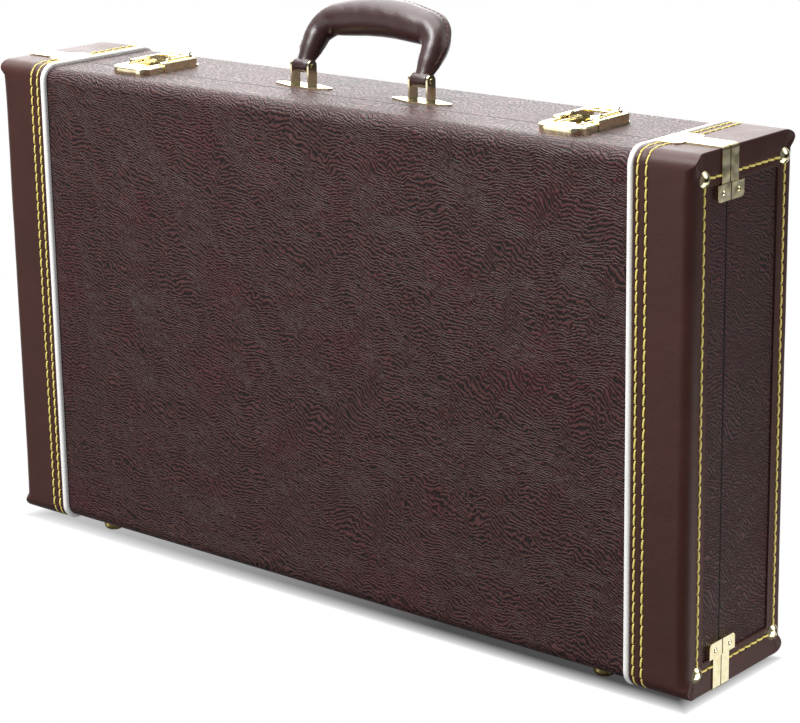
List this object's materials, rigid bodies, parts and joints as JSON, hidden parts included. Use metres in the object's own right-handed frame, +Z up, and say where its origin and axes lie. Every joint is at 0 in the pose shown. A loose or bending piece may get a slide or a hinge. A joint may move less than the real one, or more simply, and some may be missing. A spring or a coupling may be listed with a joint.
{
  "type": "instrument case",
  "caption": "Oblong hard case in textured dark brown vinyl with smooth end caps, a hinged lid, draw latches and a padded handle, standing on its feet.",
  "frame": {"origin": "on the floor under the middle of the case's bounding box", "axes": "+X along the length, +Y from the lid to the back of the base, +Z up"},
  "size_m": [0.641, 0.12, 0.4312],
  "materials": {
    "plywood": "raw plywood",
    "textured_vinyl": "dark brown embossed vinyl",
    "plush": "short plush pile",
    "plush_pad": "foam under short plush pile",
    "smooth_vinyl": "smooth dark brown vinyl",
    "white_piping": "white vinyl piping",
    "brass_clips": "polished",
    "brass_nails": "polished",
    "brass_rivets": "polished",
    "brass_feet": "polished",
    "brass_hinges": "satin",
    "brass_latches": "polished",
    "brass_wire": "polished",
    "brass_brackets": "polished",
    "steel_pins": "brass plated",
    "handle_leather": "smooth padded leather"
  },
  "bodies": {
    "base": {"base_face_board": "plywood", "base_top_wall": "plywood", "base_bottom_wall": "plywood", "base_left_wall": "plywood", "base_right_wall": "plywood", "base_covering": "textured_vinyl", "base_lining": "plush", "base_pad": "plush_pad", "base_cap_left": "smooth_vinyl", "base_piping_left": "white_piping", "base_clips_left": "brass_clips", "base_cap_right": "smooth_vinyl", "base_piping_right": "white_piping", "base_clips_right": "brass_clips", "base_dome_nails": "brass_nails", "base_clip_rivets": "brass_rivets", "base_hinge_rivets": "brass_rivets", "base_latch_rivets": "brass_rivets", "base_feet": "brass_feet", "base_handle_screws": "brass_rivets", "hinge_left_base_leaf": "brass_hinges", "hinge_middle_base_leaf": "brass_hinges", "hinge_right_base_leaf": "brass_hinges", "hinge_pins": "steel_pins", "latch_left_lever_plate": "brass_latches", "handle_bracket_left": "brass_brackets", "latch_right_lever_plate": "brass_latches", "handle_bracket_right": "brass_brackets", "latch_lever_pins": "steel_pins", "handle_pins": "steel_pins"},
    "lid": {"lid_face_board": "plywood", "lid_top_wall": "plywood", "lid_bottom_wall": "plywood", "lid_left_wall": "plywood", "lid_right_wall": "plywood", "lid_covering": "textured_vinyl", "lid_lining": "plush", "lid_pad": "plush_pad", "lid_cap_left": "smooth_vinyl", "lid_piping_left": "white_piping", "lid_clips_left": "brass_clips", "lid_cap_right": "smooth_vinyl", "lid_piping_right": "white_piping", "lid_clips_right": "brass_clips", "lid_dome_nails": "brass_nails", "lid_clip_rivets": "brass_rivets", "lid_hinge_rivets": "brass_rivets", "lid_latch_rivets": "brass_rivets", "lid_feet": "brass_feet", "hinge_left_lid_leaf": "brass_hinges", "hinge_middle_lid_leaf": "brass_hinges", "hinge_right_lid_leaf": "brass_hinges", "latch_left_catch": "brass_latches", "latch_right_catch": "brass_latches"},
    "handle": {"handle_grip": "handle_leather"},
    "lever_left": {"latch_left_lever": "brass_latches"},
    "bail_left": {"latch_left_bail": "brass_wire"},
    "lever_right": {"latch_right_lever": "brass_latches"},
    "bail_right": {"latch_right_bail": "brass_wire"}
  },
  "joints": [
    {"name": "lid_hinge", "type": "hinge", "parent": "base", "child": "lid", "pos_m": [0, -0.0185, 0.0049], "axis": [1, 0, 0], "range_deg": [0, 105]},
    {"name": "handle_hinge", "type": "hinge", "parent": "base", "child": "handle", "pos_m": [0, -0.0017, 0.382], "axis": [1, 0, 0], "range_deg": [-47, 123]},
    {"name": "lever_left_hinge", "type": "hinge", "parent": "base", "child": "lever_left", "pos_m": [-0.1985, -0.0065, 0.3723], "axis": [1, 0, 0], "range_deg": [0, 100]},
    {"name": "bail_left_hinge", "type": "hinge", "parent": "lever_left", "child": "bail_left", "pos_m": [-0.1985, 0.00136, 0.3708], "axis": [1, 0, 0], "range_deg": [-115, 0]},
    {"name": "lever_right_hinge", "type": "hinge", "parent": "base", "child": "lever_right", "pos_m": [0.1985, -0.0065, 0.3723], "axis": [1, 0, 0], "range_deg": [0, 100]},
    {"name": "bail_right_hinge", "type": "hinge", "parent": "lever_right", "child": "bail_right", "pos_m": [0.1985, 0.00136, 0.3708], "axis": [1, 0, 0], "range_deg": [-115, 0]}
  ],
  "couplings": [
    {"joint": "bail_left_hinge", "follows": "lever_left_hinge", "ratio": -1.15},
    {"joint": "bail_right_hinge", "follows": "lever_right_hinge", "ratio": -1.15}
  ]
}
